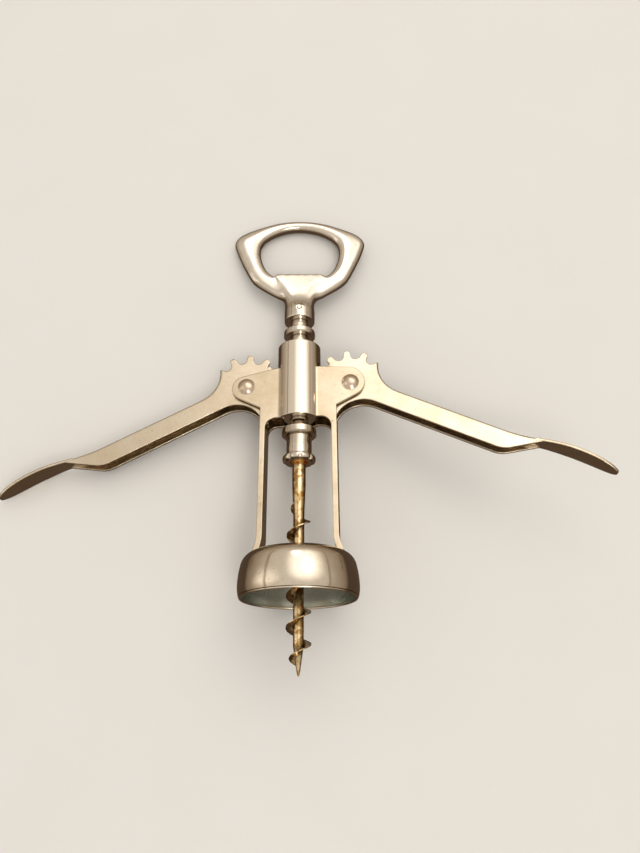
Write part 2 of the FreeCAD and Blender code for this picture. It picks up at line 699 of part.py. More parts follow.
def worm_core_radius(height):
    """The worm's core: a plain shank that draws down to a long taper."""
    if height >= SHANK_END:
        return SHANK_RADIUS
    if height >= WORM_WAIST:
        share = (height - WORM_WAIST) / (SHANK_END - WORM_WAIST)
        return WORM_CORE_TOP + share * (SHANK_RADIUS - WORM_CORE_TOP)
    if height >= WORM_CORE_END:
        share = (height - WORM_CORE_END) / (WORM_WAIST - WORM_CORE_END)
        return WORM_CORE_BOTTOM + share * (WORM_CORE_TOP - WORM_CORE_BOTTOM)
    if height >= PILOT_TOP:
        share = (height - PILOT_TOP) / (WORM_CORE_END - PILOT_TOP)
        return PILOT_RADIUS + share * (WORM_CORE_BOTTOM - PILOT_RADIUS)
    share = (height - PILOT_END) / (PILOT_TOP - PILOT_END)
    return PILOT_END_RADIUS + share * (PILOT_RADIUS - PILOT_END_RADIUS)


def flight_section(turn):
    """The thin wedge of the worm's flight at an angle of turn down from its top."""
    height = FLIGHT_TOP - turn / 360 * WORM_PITCH
    total = (FLIGHT_TOP - FLIGHT_BOTTOM) / WORM_PITCH * 360
    grown = min(1.0, turn / FLIGHT_GROWTH)
    faded = min(1.0, (total - turn) / FLIGHT_END_TAPER)
    core = worm_core_radius(height)
    share = math.sin(math.pi / 2 * min(grown, faded))
    reach = core + 0.1 + share * (FLIGHT_RADIUS - core - 0.1)
    angle = 180 + (FLIGHT_PHASE_Y - height) / WORM_PITCH * 360
    sunk = core * 0.6
    points = []
    for radius, rise in (
        (sunk, -FLIGHT_ROOT / 2),
        (reach, -FLIGHT_EDGE / 2),
        (reach, FLIGHT_EDGE / 2),
        (sunk, FLIGHT_ROOT / 2),
    ):
        flat = polar(radius, angle)
        points.append(V(flat.x, height + rise, flat.y))
    return Part.makePolygon(points + points[:1])


def worm():
    """The steel worm: shank, tapering core and a thin right-handed flight."""
    top = SPOOL_BOTTOM + SOCKET_DEPTH - RUNNING_FIT
    corners = [(0, WORM_TIP), (WORM_TIP_RADIUS, WORM_TIP)]
    for height in (PILOT_END, PILOT_TOP, WORM_CORE_END, WORM_WAIST, SHANK_END, top):
        corners.append((worm_core_radius(height), height))
    corners.append((0, top))
    core = turned_points(corners)
    total = (FLIGHT_TOP - FLIGHT_BOTTOM) / WORM_PITCH * 360
    steps = math.ceil(total / FLIGHT_STEP)
    sections = []
    for number in range(steps + 1):
        sections.append(flight_section(total * number / steps))
    flight = Part.makeLoft(sections, True, True)
    return core.fuse(flight)


def socket_braze():
    """The fillet of braze that fixes the worm in its socket."""
    return turned_points([
        (SHANK_RADIUS + PRESS_GAP, SPOOL_BOTTOM),
        (SHANK_RADIUS + PRESS_GAP, SPOOL_BOTTOM - BRAZE_HEIGHT),
        (SHANK_RADIUS + BRAZE_WIDTH, SPOOL_BOTTOM),
    ])


# Opener head


def spline_through(points, first, last):
    """A smooth edge through points with a direction at each end."""
    curve = Part.BSplineCurve()
    curve.interpolate(points, InitialTangent=first, FinalTangent=last)
    return curve.toShape()


def mirrored_contour(width, top, height, places):
    """A closed contour through places on its right half, as shares of its half width and height."""
    half = []
    for across, down in places:
        half.append(V(width * across, top - height * down, 0))
    right = spline_through(half, X_AXIS, V(-1, 0, 0))
    return [right, other_side(right)]


def head_contour():
    """The head's outer contour: a low arch with two rounded corners drawn in to the neck."""
    corner = HEAD_CORNER_DROP / HEAD_FOOT_DROP
    places = [(0, 0), (0.36, 0.029), (0.69, 0.112), (0.95, corner - 0.066), (1, corner)]
    places += [(0.98, corner + 0.061), (0.93, 0.446), (0.81, 0.637), (0.63, 0.834), (0.41, 0.941), (0, 1)]
    return mirrored_contour(HEAD_HALF_WIDTH, HEAD_TOP, HEAD_FOOT_DROP, places)


def hole_contour():
    """The finger hole's contour, an egg that runs down beside the cap lip."""
    places = [(0, 0), (0.6, 0.088), (0.93, 0.254), (1, 0.415)]
    places += [(0.94, 0.62), (0.76, 0.831), (0.5, 0.951), (0, 1)]
    return mirrored_contour(HOLE_HALF_WIDTH, HOLE_TOP, HOLE_HEIGHT, places)


def flat_edges(solid, height, half_width):
    """The edges of a flat solid's front and back faces that stay within a half width."""
    picked = []
    for edge in solid.Edges:
        box = edge.BoundBox
        level = box.ZLength < 0.01 and abs(abs(box.ZMax) - height) < 0.01
        if level and max(box.XMax, -box.XMin) < half_width:
            picked.append(edge)
    return picked


def head_ring():
    """The finger ring: almost full round at its outside, crisp round the hole."""
    half = HEAD_THICKNESS / 2
    ring = slab(head_contour(), -half, half)
    ring = ring.makeFillet(HEAD_EDGE_ROUND, flat_edges(ring, half, 2 * HEAD_HALF_WIDTH))
    hole = slab(hole_contour(), -half, half)
    ring = ring.cut(hole)
    return ring.makeFillet(HEAD_HOLE_ROUND, flat_edges(ring, half, HOLE_HALF_WIDTH + HEAD_HOLE_ROUND))


def cutter_path(side, edge_level):
    """One side of the neck and lip: full round, a cutter's run-out, then flat to the edge."""
    below = NECK_BOTTOM - 1
    full = 2 * NECK_RADIUS * side
    flat_end = NECK_FLAT_START + LIP_RUN_OUT
    flat_level = (NECK_RADIUS - LIP_RUN_OUT_DEPTH) * side
    sag = LIP_RUN_OUT_DEPTH * 0.7
    start = V(0, NECK_FLAT_START, NECK_RADIUS * side)
    middle = V(0, NECK_FLAT_START + LIP_RUN_OUT / 2, (NECK_RADIUS - sag) * side)
    bottom = V(0, flat_end, flat_level)
    return [
        line(V(0, below, full), V(0, NECK_FLAT_START, full)),
        line(V(0, NECK_FLAT_START, full), start),
        arc(start, middle, bottom),
        line(bottom, V(0, LIP_EDGE_Y, edge_level)),
    ]


def head_wedge():
    """The neck and lip in side view: the lip's front is flush with the ring, its back cut away."""
    front = HEAD_THICKNESS / 2 + LIP_STANDS_OUT
    back = front - LIP_EDGE_THICKNESS
    deep = 2 * NECK_RADIUS
    below = NECK_BOTTOM - 1
    edges = cutter_path(1, front) + cutter_path(-1, back)
    edges.append(line(V(0, below, deep), V(0, below, -deep)))
    edges.append(line(V(0, LIP_EDGE_Y, front), V(0, LIP_EDGE_Y, back)))
    face = Part.Face(Part.Wire(Part.__sortEdges__(edges)))
    wedge = face.extrude(V(4 * LIP_HALF_WIDTH, 0, 0))
    wedge.translate(V(-2 * LIP_HALF_WIDTH, 0, 0))
    return wedge


def lip_plan():
    """The front view of the cap lip, waisted down to the neck, with clipped corners."""
    foot = HEAD_TOP - HEAD_FOOT_DROP
    edge_half = LIP_HALF_WIDTH - LIP_CORNER
    shoulder = LIP_EDGE_Y - LIP_CORNER
    side = arc(
        V(NECK_RADIUS, foot, 0),
        V(NECK_RADIUS + (LIP_HALF_WIDTH - NECK_RADIUS) * LIP_WAIST, (foot + shoulder) / 2, 0),
        V(LIP_HALF_WIDTH, shoulder, 0),
    )
    corner = line(V(LIP_HALF_WIDTH, shoulder, 0), V(edge_half, LIP_EDGE_Y, 0))
    return [
        line(V(-NECK_RADIUS, foot, 0), V(NECK_RADIUS, foot, 0)),
        side,
        corner,
        line(V(edge_half, LIP_EDGE_Y, 0), V(-edge_half, LIP_EDGE_Y, 0)),
        other_side(corner),
        other_side(side),
    ]


def head_pin_hole():
    """The cross hole for the pin that keeps the head on the shaft."""
    y = NECK_BOTTOM + HEAD_PIN_ABOVE_NECK
    hole = pin_through(HEAD_PIN_RADIUS + PRESS_GAP, 0, y, -2 * NECK_RADIUS, 2 * NECK_RADIUS)
    hole.rotate(ORIGIN, Y_AXIS, HEAD_TURN)
    return hole


def head_pin():
    """The pin through the neck and the tenon, dressed flush with the neck."""
    y = NECK_BOTTOM + HEAD_PIN_ABOVE_NECK
    pin = pin_through(HEAD_PIN_RADIUS, 0, y, -2 * NECK_RADIUS, 2 * NECK_RADIUS)
    pin = pin.common(rod(NECK_RADIUS, NECK_BOTTOM, LIP_EDGE_Y))
    pin.rotate(ORIGIN, Y_AXIS, HEAD_TURN)
    return pin


def opener_head():
    """The cast head: a rounded ring, the flat cap lip and the neck that takes the shaft."""
    neck = rod(NECK_RADIUS, NECK_BOTTOM, LIP_EDGE_Y - NECK_RADIUS)
    lip = slab(lip_plan(), -NECK_RADIUS, NECK_RADIUS)
    middle = lip.fuse(neck).common(head_wedge())
    head = head_ring().fuse(middle)
    head = head.cut(rod(TENON_RADIUS + PRESS_GAP, NECK_BOTTOM - 1, NECK_BOTTOM + TENON_LENGTH + RUNNING_FIT))
    head.rotate(ORIGIN, Y_AXIS, HEAD_TURN)
    return head.cut(head_pin_hole()).removeSplitter()


def build():
    """Every piece of the corkscrew by its name."""
    front = front_frame()
    right_rivet = rivet()
    right_bush = pivot_bush()
    right_front_washer = pivot_washer()
    right_back_washer = back_half(right_front_washer)
    return {
        "front_frame": front,
        "back_frame": back_half(front),
        "bell": bell(),
        "right_pivot_rivet": right_rivet,
        "left_pivot_rivet": other_side(right_rivet),
        "right_pivot_bush": right_bush,
        "left_pivot_bush": other_side(right_bush),
        "right_front_washer": right_front_washer,
        "right_back_washer": right_back_washer,
        "left_front_washer": other_side(right_front_washer),
        "left_back_washer": other_side(right_back_washer),
        "guide_bush": guide_bush(),
        "right_lever": lever(RIGHT_DROOP),
        "left_lever": other_side(lever(LEFT_DROOP)),
        "rack_shaft": rack_shaft(),
        "worm_ferrule": ferrule(),
        "worm": worm(),
        "socket_braze": socket_braze(),
        "opener_head": opener_head(),
        "head_pin": head_pin(),
    }


os.makedirs("parts", exist_ok=True)
for name, shape in build().items():
    shape.exportStep("parts/" + name + ".step")
    print(name, "solids", len(shape.Solids), "valid", shape.isValid(), "volume", round(shape.Volume, 2))
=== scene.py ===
# %% [markdown]
# # Wing corkscrew
# This lesson dresses a finished construction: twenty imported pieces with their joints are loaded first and
# stay where they are. Each gets the finish its metal has, and five of them are modelled again, finer, where
# the light shows more than the construction holds: the bell, both rivets, the opener head and the ferrule.
# A whole corkscrew could also be modelled here from nothing, but then its gears would have to mesh twice.
# Lengths are metres in the part's own frame: +X to the right lever, +Y to the opener head, +Z out of the front.

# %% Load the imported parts
import bpy
import math
from mathutils import Matrix, Vector


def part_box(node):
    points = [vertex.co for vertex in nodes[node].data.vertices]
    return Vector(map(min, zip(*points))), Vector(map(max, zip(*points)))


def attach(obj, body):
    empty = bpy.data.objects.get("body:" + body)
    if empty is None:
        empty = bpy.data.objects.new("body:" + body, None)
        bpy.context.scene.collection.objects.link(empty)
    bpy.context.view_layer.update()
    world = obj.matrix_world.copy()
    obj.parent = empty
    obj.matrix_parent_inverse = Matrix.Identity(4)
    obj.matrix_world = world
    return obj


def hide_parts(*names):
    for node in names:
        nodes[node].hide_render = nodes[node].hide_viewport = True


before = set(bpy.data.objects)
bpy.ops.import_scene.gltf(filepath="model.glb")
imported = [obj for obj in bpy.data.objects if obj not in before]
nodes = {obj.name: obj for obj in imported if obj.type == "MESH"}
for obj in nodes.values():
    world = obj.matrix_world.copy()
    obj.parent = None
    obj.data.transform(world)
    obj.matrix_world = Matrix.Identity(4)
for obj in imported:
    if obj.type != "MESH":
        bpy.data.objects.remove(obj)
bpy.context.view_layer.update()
bpy.ops.object.select_all(action="DESELECT")
MM = 0.001
print("loaded", len(nodes), "packed pieces")

# %% [markdown]
# ## Camera
# The tool lies flat and is seen steeply from above, a little from its bell's end. A camera could be moved by
# eye until the picture agrees. Here it was fitted by numbers instead, to the bell's mouth, the barrel's rim,
# the rings, both rivets and the worm, because a round mouth seen as an oval gives the angle away.
# Three turns give its direction: how steeply it looks down, its turn about the upright, and its roll.

# %% Fitted camera
IMAGE_WIDTH = 640
FOCAL_PIXELS = 664.5
ELEVATION, YAW, ROLL = (math.radians(angle) for angle in (64.807, 8.999, -10.532))
AIM = Vector((7.843, 63.650, 0)) * MM
CAMERA_DISTANCE = 249.201 * MM
NEAREST_SEEN = 10 * MM

bpy.ops.object.camera_add()
camera = bpy.context.object
camera.name = "camera"
camera.data.sensor_fit = "HORIZONTAL"
camera.data.lens = camera.data.sensor_width * FOCAL_PIXELS / IMAGE_WIDTH
camera.data.clip_start = NEAREST_SEEN
turn = Matrix.Rotation(YAW, 3, "Z")
look = turn @ Vector((0, math.cos(ELEVATION), -math.sin(ELEVATION)))
level = turn @ Vector((1, 0, 0))
above = level.cross(look)
right = level * math.cos(ROLL) + above * math.sin(ROLL)
up = above * math.cos(ROLL) - level * math.sin(ROLL)
place = Matrix((right, up, -look)).transposed().to_4x4()
place.translation = AIM - look * CAMERA_DISTANCE
camera.matrix_world = place
bpy.context.scene.camera = camera
print("camera at", [round(value, 4) for value in place.translation])

# %% [markdown]
# ## Floor
# Lying down, the tool rests on three places: the bell's rim, the opener head's back and one lever's pad.
# The floor could be set level by guess, but then shadows would part from the metal. So the lowest point of
# each of the three pieces is looked up, the plane through them is taken, and this is done a few times over,
# because which point is lowest depends on how the plane leans.

# %% Lowest points of the three rests
RESTS_ON = ("bell", "opener_head", "left_lever")
UPRIGHT = Vector((0, 0, 1))
SETTLING_ROUNDS = 8

floor_normal = UPRIGHT.copy()
for attempt in range(SETTLING_ROUNDS):
    touching = []
    for name in RESTS_ON:
        points = [vertex.co for vertex in nodes[name].data.vertices]
        touching.append(min(points, key=lambda point: point.dot(floor_normal)))
    across = touching[1] - touching[0]
    along = touching[2] - touching[0]
    floor_normal = across.cross(along).normalized()
    if floor_normal.z < 0:
        floor_normal.negate()
print("floor leans", round(math.degrees(floor_normal.angle(UPRIGHT)), 2), "degrees")

# %% Floor plane
FLOOR_WIDTH = 4

bpy.ops.mesh.primitive_plane_add(size=FLOOR_WIDTH)
floor = bpy.context.object
floor.name = "floor"
lean = UPRIGHT.rotation_difference(floor_normal).to_matrix().to_4x4()
floor.matrix_world = Matrix.Translation(touching[0]) @ lean
print("floor plane", FLOOR_WIDTH, "metres wide")

# %% [markdown]
# ## Colours and nodes
# Every colour below is written as a painter's code in sRGB, and Cycles reckons in linear values, so one
# function turns one into the other. A second small function adds any shader node with its settings and its
# links. Nodes could be joined one by one, but the links would then hide what a material is made of.

# %% Colour codes
def colour_of(code):
    """A written colour such as C8BDAF as linear values."""
    values = []
    for start in (0, 2, 4):
        part = int(code[start:start + 2], 16) / 255
        values.append(part / 12.92 if part <= 0.04045 else ((part + 0.055) / 1.055) ** 2.4)
    return (*values, 1)


print("mid grey 808080 is", round(colour_of("808080")[0], 3), "in linear light")

# %% Any node
# Places of the sockets of a colour mix: its share, its two colours and the mixed colour that comes out.
SHARE, FIRST, SECOND, MIXED = 0, 6, 7, 2


def add(tree, kind, inputs=None, **settings):
    """A shader node with its settings and its inputs, which are values or other nodes' outputs."""
    made = tree.nodes.new(kind)
    for key, value in settings.items():
        setattr(made, key, value)
    for key, value in (inputs or {}).items():
        if isinstance(value, bpy.types.NodeSocket):
            tree.links.new(value, made.inputs[key])
        else:
            made.inputs[key].default_value = value
    return made


print("node helper ready")

# %% [markdown]
# ## Light
# Polished metal shows what stands round it more than it shows light, so the studio is a few plain round
# cards. A wide one overhead gives the flats their cream tone, one near the head brightens the finger ring,
# one in front gives the bell its hot spot, and two fill the sides. Lamps could do it, but a card is a face,
# and a face can fade towards its edge, which leaves a soft border in the plating. Each card adds its light to
# whatever is behind it and is otherwise clear, so no dark rim is mirrored.

# %% Glow that fades towards the edge
def glow(name, colour, strength, soft=0.0):
    """Light from a flat face; soft is the share of it that fades towards its edge."""
    material = bpy.data.materials.new(name)
    material.use_nodes = True
    tree = material.node_tree
    tree.nodes.remove(tree.nodes["Principled BSDF"])
    shine = add(tree, "ShaderNodeEmission", {"Color": colour_of(colour), "Strength": strength})
    if soft:
        place = add(tree, "ShaderNodeTexCoord").outputs["Object"]
        reach = add(tree, "ShaderNodeVectorMath", {0: place}, operation="LENGTH")
        fade = add(tree, "ShaderNodeMapRange", {
            "Value": reach.outputs["Value"], "From Min": 1 - soft, "From Max": 1.0,
            "To Min": strength, "To Max": 0.0}, interpolation_type="SMOOTHSTEP")
        tree.links.new(fade.outputs["Result"], shine.inputs["Strength"])
    behind = colour_of("FFFFFF" if soft else "000000")
    clear = add(tree, "ShaderNodeBsdfTransparent", {"Color": behind})
    light = add(tree, "ShaderNodeAddShader", {0: shine.outputs["Emission"], 1: clear.outputs["BSDF"]})
    tree.links.new(light.outputs["Shader"], tree.nodes["Material Output"].inputs["Surface"])
    return material


print("glow ready")

# %% Cards
CARD_CORNERS = 48
CARDS_FACE = Vector((0, 0.06, 0))


def card(name, place, half_width, half_length, material):
    """A round card that faces the object; the camera doesn't see it."""
    bpy.ops.mesh.primitive_circle_add(vertices=CARD_CORNERS, radius=1, fill_type="NGON", location=place)
    made = bpy.context.object
    made.name = name
    made.scale = (half_width, half_length, 1)
    made.rotation_euler = (CARDS_FACE - Vector(place)).to_track_quat("-Z", "Y").to_euler()
    made.data.materials.append(material)
    made.visible_camera = False
    made.visible_shadow = False
    print(name, [round(value, 2) for value in place])


card("overhead_card", (0.34, 0.52, 1.0), 0.95, 0.9, glow("overhead_glow", "FFF8EE", 1.1, 0.85))
card("head_card", (0.0, 1.02, 1.05), 0.26, 0.24, glow("head_glow", "FFFAF2", 1.7, 0.7))
card("right_card", (0.50, 0.50, 1.05), 0.34, 0.34, glow("right_glow", "FFF8EC", 1.1, 0.8))
card("front_card", (0.26, -0.55, 0.70), 0.26, 0.26, glow("front_glow", "FFFAF2", 6.0, 0.85))
card("left_card", (-0.85, 0.10, 0.55), 0.40, 0.7, glow("left_glow", "FFF8EE", 0.7, 0.9))

# %% [markdown]
# ## Mirrored room
# Bright plating on a pale floor would mirror that floor all round and look flat. A curve reads as a curve
# when the metal mirrors light tones above and dark ones below. A room could be built round the tool with
# walls, but all that the metal needs is its tones from floor to ceiling, so one large ball carries them, and
# two dark strips draw the thin brown lines along the barrel and the bell.
# Only mirrored rays meet them: they light nothing, and the camera still sees the plain floor.

# %% Things that only mirrored rays meet
def mirrored_only(thing, material):
    """A face that only mirrored rays meet: it lights nothing and hides nothing."""
    thing.data.materials.append(material)
    thing.visible_camera = False
    thing.visible_diffuse = False
    thing.visible_shadow = False
    print(thing.name, "is seen in the metal alone")


# %% Room ball
ROOM_RADIUS = 3
# Each tone with its height, from 0 under the floor to 1 overhead; the horizon is at a half.
ROOM_TONES = (
    (0.0, "5A4A3D"), (0.33, "4E4035"), (0.38, "857461"),
    (0.60, "B2A493"), (0.75, "D0C5B7"), (1.0, "E0D8CD"))

room_face = bpy.data.materials.new("room_face")
room_face.use_nodes = True
tree = room_face.node_tree
tree.nodes.remove(tree.nodes["Principled BSDF"])
height = add(tree, "ShaderNodeSeparateXYZ", {"Vector": add(tree, "ShaderNodeTexCoord").outputs["Object"]})
level_share = add(tree, "ShaderNodeMapRange", {"Value": height.outputs["Z"], "From Min": -1.0})
tones = add(tree, "ShaderNodeValToRGB", {"Fac": level_share.outputs["Result"]})
ramp = tones.color_ramp.elements
for spot, (position, code) in enumerate(ROOM_TONES):
    stop = ramp[spot] if spot < 2 else ramp.new(position)
    stop.position = position
    stop.color = colour_of(code)
room_glow = add(tree, "ShaderNodeEmission", {"Color": tones.outputs["Color"], "Strength": 1.0})
tree.links.new(room_glow.outputs["Emission"], tree.nodes["Material Output"].inputs["Surface"])

bpy.ops.mesh.primitive_uv_sphere_add(segments=48, ring_count=24, radius=1)
room = bpy.context.object
room.name = "room"
room.scale = (ROOM_RADIUS, ROOM_RADIUS, ROOM_RADIUS)
bpy.ops.object.shade_smooth()
mirrored_only(room, room_face)

# %% Dark strips
STRIP_LENGTH = 1.4
STRIP_BROWN = "7A6654"
STRIPS = (("left_strip", (-0.70, 0.35, 0.44), 0.06), ("right_strip", (0.72, 0.35, 0.34), 0.04))

for name, place, width in STRIPS:
    bpy.ops.mesh.primitive_plane_add(size=1, location=place)
    strip = bpy.context.object
    strip.name = name
    strip.scale = (width, STRIP_LENGTH, 1)
    strip.rotation_euler = (0, math.atan2(place[0], place[2]), 0)
    mirrored_only(strip, glow(name + "_face", STRIP_BROWN, 1.0))
floor.visible_glossy = False
print("floor left out of mirrored rays")

# %% [markdown]
# ## Surround
# The room's plain light comes from everywhere, as in a pale studio. A picture of a sky or a room could give
# it, but one warm grey is enough, and it keeps the floor's own colour.

# %% Surround
SURROUND_STRENGTH = 0.82

world = bpy.data.worlds.new("surround")
bpy.context.scene.world = world
world.use_nodes = True
world.node_tree.nodes["Background"].inputs["Color"].default_value = colour_of("E9E6E1")
world.node_tree.nodes["Background"].inputs["Strength"].default_value = SURROUND_STRENGTH
bpy.context.scene.view_settings.view_transform = "Standard"
print("surround", SURROUND_STRENGTH)

# %% [markdown]
# ## How plated metal looks
# Nearly all of the tool is pressed or turned steel with bright nickel plating, warm in tone and a little
# clouded by use. The eye reads that as a clear mirror whose sharpness changes from place to place. Pictures
# could be laid on the pieces, but a pattern worked out in space has no seams and rides with each piece, so
# the marks are noise, each at its real size in millimetres: clouds of handling about 12 mm wide, pits about
# 1 mm apart, and rust spots of about 2 mm on the bare metals.

# %% Clouds and spots
CLOUD_SIZE = 12.0
SPOT_SIZE = 2.2


def clouded(tree, place, light, dark):
    """A tone that drifts between two colours, and the clouds that it follows."""
    clouds = add(tree, "ShaderNodeTexNoise", {
        "Vector": place, "Scale": 1 / (CLOUD_SIZE * MM), "Detail": 5.0, "Roughness": 0.65}).outputs["Fac"]
    share = add(tree, "ShaderNodeMapRange", {"Value": clouds, "From Min": 0.35, "From Max": 0.7})
    tone = add(tree, "ShaderNodeMix", {
        SHARE: share.outputs["Result"], FIRST: colour_of(light), SECOND: colour_of(dark)}, data_type="RGBA")
    return tone.outputs[MIXED], clouds


def with_spots(tree, place, tone, spot):
    """The tone with blotches of a second colour over it."""
    blotches = add(tree, "ShaderNodeTexNoise", {
        "Vector": place, "Scale": 1 / (SPOT_SIZE * MM), "Detail": 3.0})
    spots = add(tree, "ShaderNodeMapRange", {
        "Value": blotches.outputs["Fac"], "From Min": 0.48, "From Max": 0.56})
    return add(tree, "ShaderNodeMix", {
        SHARE: spots.outputs["Result"], FIRST: tone,
        SECOND: colour_of(spot)}, data_type="RGBA").outputs[MIXED]


print("clouds", CLOUD_SIZE, "mm, spots", SPOT_SIZE, "mm")

# %% [markdown]
# ### Pits, grime with painted corner shade, and rubbing marks
# Cheap plating has pinholes, and grime stays in them and in the corners that a cloth doesn't reach. The corners
# are also darkened as painted shade, standing for the shade that falls where two pieces meet, so each corner's
# darkening is partly grime and partly painted shade. Corners could be painted by hand; ambient occlusion finds
# them by itself, wherever two pieces meet. Fine rubbing marks lie along the way a piece is handled or was
# turned on the lathe, so their noise is stretched. A pressed edge is never sharp, and where the imported
# solid's edge is, a small bevel in the shading rounds it.

# %% Pits, and grime with painted corner shade
PIT_SIZE = 1.1
CORNER_SHADE_FADE = 0.5


def pitted(tree, place, strength):
    """How far each place is a pinhole."""
    dots = add(tree, "ShaderNodeTexNoise", {"Vector": place, "Scale": 1 / (PIT_SIZE * MM), "Detail": 2.0})
    return add(tree, "ShaderNodeMapRange", {
        "Value": dots.outputs["Fac"], "From Min": 0.69, "From Max": 0.76, "To Max": strength}).outputs["Result"]


def grime_and_corner_shade(tree, reach, strength, unshaded_above):
    """How far each place is darkened as a corner, painted shade together with grime; reach is in millimetres,
    unshaded_above is how open a place is that gets none.
    """
    corners = add(tree, "ShaderNodeAmbientOcclusion", {"Distance": reach * MM}, samples=8)
    return add(tree, "ShaderNodeMapRange", {
        "Value": corners.outputs["AO"], "From Min": unshaded_above - CORNER_SHADE_FADE, "From Max": unshaded_above,
        "To Min": strength, "To Max": 0.0}).outputs["Result"]


print("pits", PIT_SIZE, "mm")

# %% Rubbing marks
RUB_HEIGHT = 0.4
PIT_HEIGHT = 0.2


def rubbed(tree, place, sizes, depth, edge, pits):
    """The surface's fine relief: marks of given sizes in millimetres, soft edges and sunk pits."""
    per_metre = [1 / (size * MM) for size in sizes]
    stretched = add(tree, "ShaderNodeMapping", {"Vector": place, "Scale": per_metre})
    marks = add(tree, "ShaderNodeTexNoise", {
        "Vector": stretched.outputs["Vector"], "Scale": 1.0, "Detail": 4.0})
    relief = add(tree, "ShaderNodeBump", {
        "Height": marks.outputs["Fac"], "Strength": depth, "Distance": RUB_HEIGHT * MM})
    if edge:
        softened = add(tree, "ShaderNodeBevel", {"Radius": edge * MM}, samples=6)
        tree.links.new(softened.outputs["Normal"], relief.inputs["Normal"])
    sunk = add(tree, "ShaderNodeBump", {
        "Height": pits, "Strength": 0.3, "Distance": PIT_HEIGHT * MM,
        "Normal": relief.outputs["Normal"]}, invert=True)
    return sunk.outputs["Normal"]


print("marks", RUB_HEIGHT, "mm high before their strength is taken")

# %% [markdown]
# ### Buffed strip with painted highlight
# The frame's barrel is buffed clearer than the flats beside it, because it stands out and meets the wheel, and
# its tone is painted lighter there as a painted highlight along the barrel. It could be a piece of its own, but
# it is one pressing with the ears, so the same material turns brighter and clearer within a half width about
# the middle.

# %% Buffed strip with painted highlight
BUFF_AND_HIGHLIGHT_FADE = 0.2


def within_strip(tree, place, half_width):
    """1 within the half width on both sides of the middle and 0 beyond it."""
    across = add(tree, "ShaderNodeSeparateXYZ", {"Vector": place}).outputs["X"]
    beside = add(tree, "ShaderNodeMath", {0: across}, operation="ABSOLUTE").outputs["Value"]
    return add(tree, "ShaderNodeMapRange", {
        "Value": beside, "From Min": (half_width + BUFF_AND_HIGHLIGHT_FADE) * MM,
        "From Max": (half_width - BUFF_AND_HIGHLIGHT_FADE) * MM}).outputs["Result"]


print("buffed strip fades over", 2 * BUFF_AND_HIGHLIGHT_FADE, "mm")

# %% [markdown]
# ### One metal function
# The eleven metals differ only in tone, sharpness and marks, so one function makes them all. Each could be
# wired by itself, but then they would drift apart, and a tool's parts share one history of use.

# %% One metal function
# The brown of pits and grime, and of the painted shade in corners.
GRIME_AND_SHADE_BROWN = "3B2E24"


def metal(name, light, dark, roughness, rub=(0.6, 0.6, 0.6), rub_depth=0.02, pits=0.35, grime_and_shade=GRIME_AND_SHADE_BROWN,
          edge=0.0, spotted=None, corner_shade=(1.5, 0.7, 0.7), buffed_and_highlit=None):
    """A metal with a clouded tone, rubbing marks, small pits, grime with painted shade in its corners, and a
    painted highlight on a buffed strip; sizes are millimetres.
    """
    material = bpy.data.materials.new(name)
    material.use_nodes = True
    tree = material.node_tree
    shader = tree.nodes["Principled BSDF"]
    place = add(tree, "ShaderNodeTexCoord").outputs["Object"]
    grime_and_shade = colour_of(grime_and_shade)
    tone, clouds = clouded(tree, place, light, dark)
    if spotted:
        tone = with_spots(tree, place, tone, spotted)
    holes = pitted(tree, place, pits)
    # Pits and corners turn towards the brown; in the corners this is painted shade as well as grime.
    for share in (holes, grime_and_corner_shade(tree, *corner_shade)):
        tone = add(tree, "ShaderNodeMix", {
            SHARE: share, FIRST: tone, SECOND: grime_and_shade}, data_type="RGBA").outputs[MIXED]
    rough = add(tree, "ShaderNodeMapRange", {
        "Value": clouds, "From Min": 0.3, "From Max": 0.75,
        "To Min": roughness * 0.7, "To Max": roughness * 1.5})
    # Painted highlight: within the strip the tone turns lighter; the roughness halves where the barrel is
    # buffed.
    if buffed_and_highlit:
        strip = within_strip(tree, place, buffed_and_highlit[0])
        tone = add(tree, "ShaderNodeMix", {
            SHARE: strip, FIRST: tone, SECOND: colour_of(buffed_and_highlit[1])}, data_type="RGBA").outputs[MIXED]
        rough = add(tree, "ShaderNodeMapRange", {
            "Value": strip, "To Min": roughness, "To Max": roughness * 0.5})
    tree.links.new(tone, shader.inputs["Base Color"])
    tree.links.new(rough.outputs["Result"], shader.inputs["Roughness"])
    tree.links.new(rubbed(tree, place, rub, rub_depth, edge, holes), shader.inputs["Normal"])
    shader.inputs["Metallic"].default_value = 1
    print(name, "roughness", roughness)
    return material


# %% [markdown]
# ### Nickel plating
# Nickel is a warm, slightly yellow white. Over steel that was polished first it is nearly a mirror, as on the
# opener head and the turned rings, where the lathe leaves fine marks round the shaft. Over plain pressed
# sheet, as on the frame and the levers, it is softer, with marks along the piece. Inside the bell, which no
# wheel reaches, it stays grey and dull.

# %% Nickel on polished, turned and pressed steel
bell_nickel = metal("bell_nickel", "E9DFD0", "D8CAB4", 0.14, rub=(0.7, 0.25, 0.7))
# The strip's lighter tone F4EADB is a painted highlight along the barrel.
pressed_nickel = metal("pressed_nickel", "E2D4BE", "CEBDA2", 0.17, rub=(0.7, 0.25, 0.7), edge=0.5,
                       corner_shade=(2.0, 0.9, 0.75), buffed_and_highlit=(6.7, "F4EADB"))
satin_nickel = metal("satin_nickel", "EBDFCB", "D9C9AF", 0.22, rub=(1.0, 0.2, 0.2), rub_depth=0.03, edge=0.7,
                     corner_shade=(2.0, 0.9, 0.75))
turned_nickel = metal("turned_nickel", "E9E1D5", "D0C5B4", 0.09, rub=(3.0, 0.12, 3.0), edge=0.12,
                      corner_shade=(1.4, 1.0, 0.8))
polished_nickel = metal("polished_nickel", "ECE5DA", "DACFC0", 0.08)
dull_inside = metal("dull_inside", "D2D4CC", "A3A69D", 0.3, rub=(1.3, 1.3, 1.3), rub_depth=0.06, pits=0.6)
rivet_nickel = metal("rivet_nickel", "EAD9C6", "D2BEA8", 0.2)
